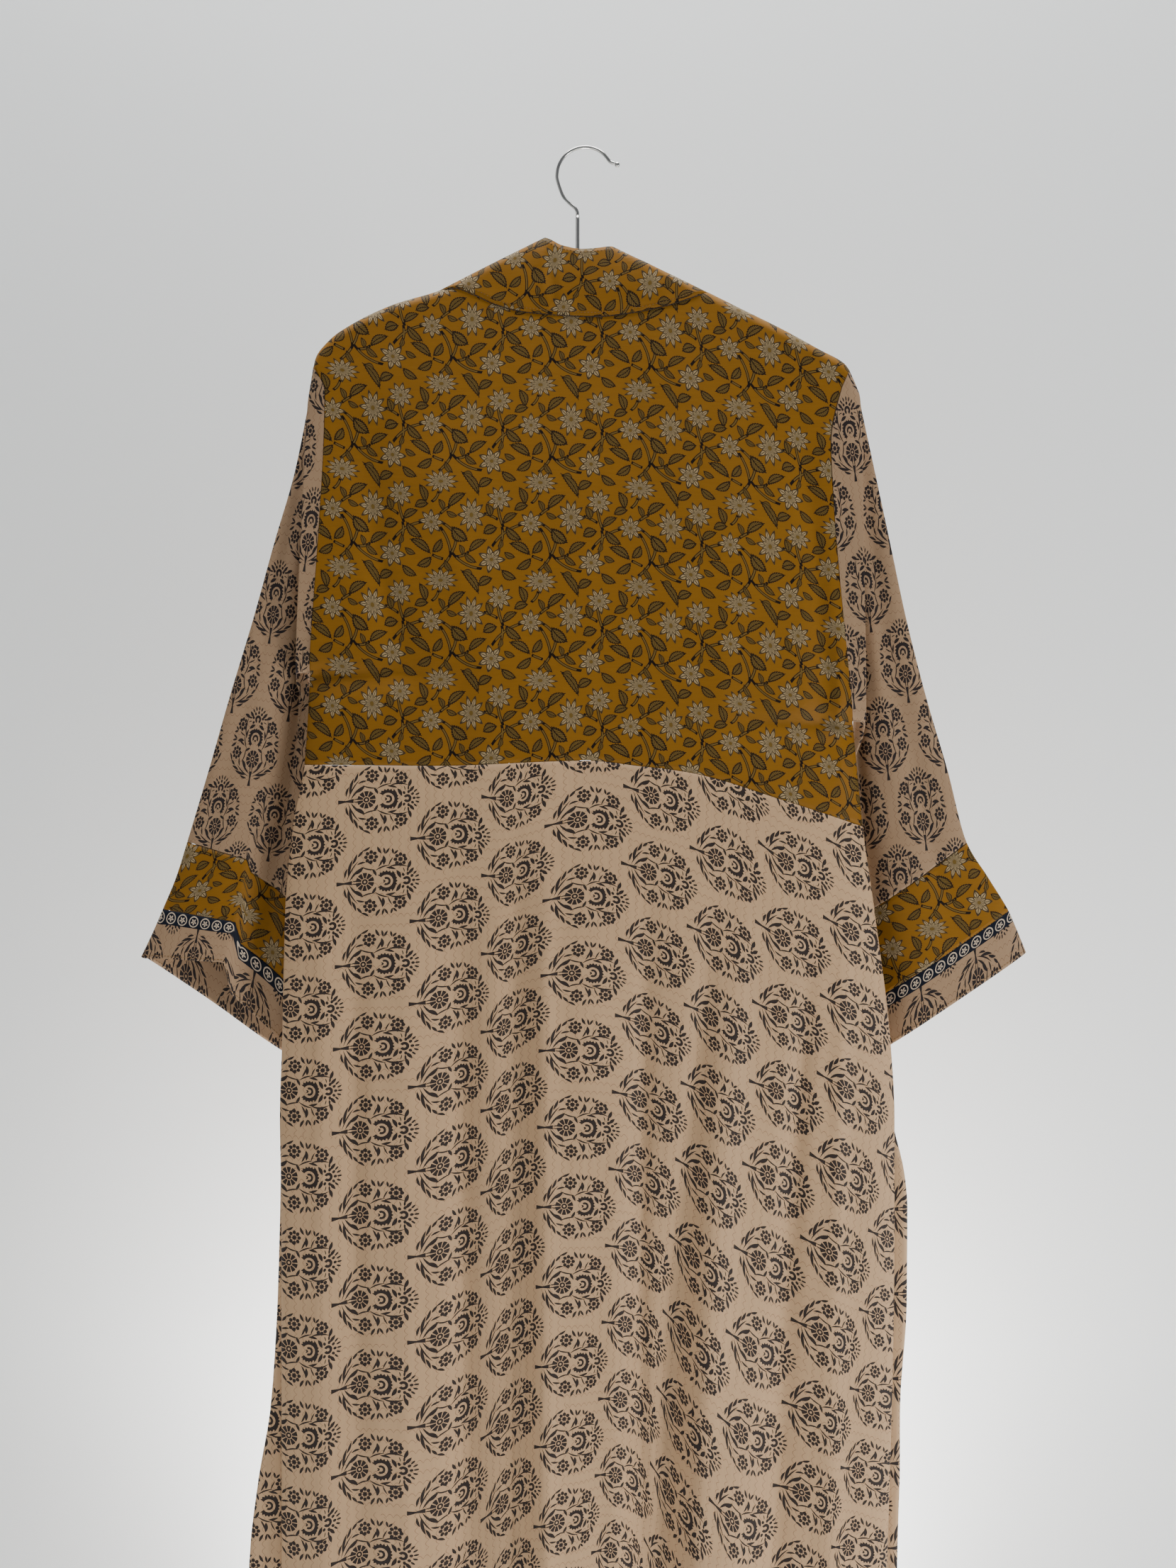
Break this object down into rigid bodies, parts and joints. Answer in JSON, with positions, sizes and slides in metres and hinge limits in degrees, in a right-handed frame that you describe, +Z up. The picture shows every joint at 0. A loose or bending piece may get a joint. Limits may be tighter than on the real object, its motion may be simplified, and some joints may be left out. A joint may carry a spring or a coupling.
{
  "type": "robe on a hanger",
  "caption": "Long open kimono-style robe of block-printed silk, seen from its back, hung on a wooden hanger with a steel hook",
  "frame": {"origin": "the inside top of the hanger's hook, where it rests on a rail", "axes": "+Z up, the garment's open front faces +Y and its back faces -Y, +X to the right when the back is looked at"},
  "size_m": [0.8081, 0.0888, 1.4231],
  "materials": {
    "mustard_print": "matte",
    "tan_print": "matte",
    "wood": "satin",
    "steel": "brushed"
  },
  "bodies": {
    "root": {"back_yoke": "mustard_print", "back_skirt": "tan_print", "front_left_yoke": "mustard_print", "front_left_skirt": "tan_print", "front_right_yoke": "mustard_print", "front_right_skirt": "tan_print", "neckband_left": "mustard_print", "neckband_back": "mustard_print", "neckband_right": "mustard_print", "sleeve_left": "tan_print", "sleeve_band_left": "mustard_print", "cuff_left": "tan_print", "sleeve_right": "tan_print", "sleeve_band_right": "mustard_print", "cuff_right": "tan_print", "hanger_body": "wood", "hanger_hook": "steel", "hanger_ferrule": "steel", "hanger_ball": "steel"}
  },
  "joints": []
}
